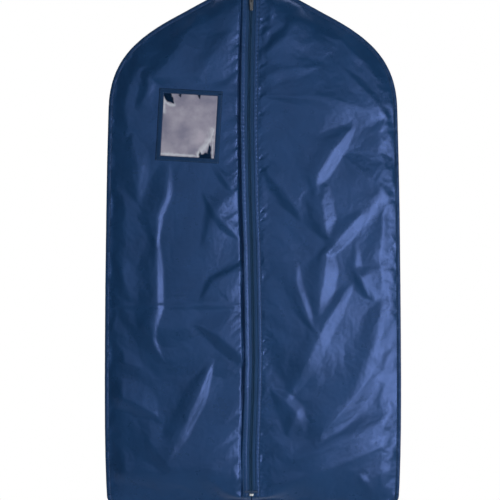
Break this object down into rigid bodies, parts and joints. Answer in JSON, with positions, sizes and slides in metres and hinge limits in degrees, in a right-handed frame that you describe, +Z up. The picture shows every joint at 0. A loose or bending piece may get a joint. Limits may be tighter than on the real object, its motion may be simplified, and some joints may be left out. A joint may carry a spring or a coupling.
{
  "type": "garment bag",
  "caption": "Hanging suit-length garment bag in navy nylon with a centre front zip, a clear identification window and an opening for a hanger hook.",
  "frame": {"origin": "centre of the hanger opening at the top edge, in the plane where front and back are sewn together", "axes": "+Z up along the hanging bag, front with the zip and window faces -Y, back faces +Y, +X to the right of someone looking at the front"},
  "size_m": [0.61, 0.0444, 1.067],
  "materials": {
    "nylon": "satin woven nylon taffeta",
    "seam": "folded and topstitched nylon",
    "binding": "folded nylon strip with a stitched edge",
    "thread": "polyester sewing thread",
    "zip_tape": "matte woven polyester tape",
    "zip_coil": "nylon monofilament coil",
    "slider": "nickel plated, lightly worn",
    "stops": "bright stamped metal",
    "vinyl": "clear flexible vinyl with a wavy gloss"
  },
  "bodies": {
    "bag": {"back_panel": "nylon", "front_panel_left": "nylon", "front_panel_right": "nylon", "shoulder_seam_left": "seam", "shoulder_seam_right": "seam", "side_seam_left": "seam", "side_seam_right": "seam", "bottom_seam": "seam", "neck_binding_left": "binding", "neck_binding_right": "binding", "neck_binding_back": "binding", "zipper_tape_left": "zip_tape", "zipper_tape_right": "zip_tape", "zipper_coil_left": "zip_coil", "zipper_coil_right": "zip_coil", "top_stop_left": "stops", "top_stop_right": "stops", "bottom_stop": "stops", "zipper_bar_tack": "thread", "id_window_film": "vinyl", "id_binding_left": "binding", "id_binding_right": "binding", "id_binding_top": "binding", "id_binding_bottom": "binding"},
    "slider": {"slider_body": "slider", "slider_bridge": "slider"},
    "pull": {"pull_tab": "slider"}
  },
  "joints": [
    {"name": "slider_slide", "type": "slide", "parent": "bag", "child": "slider", "axis": [0, 0, -1], "range_m": [0, 0.99]},
    {"name": "pull_swing", "type": "hinge", "parent": "slider", "child": "pull", "pos_m": [-0.003, -0.025, -0.031], "axis": [-1, 0, 0], "range_deg": [0, 165]}
  ]
}
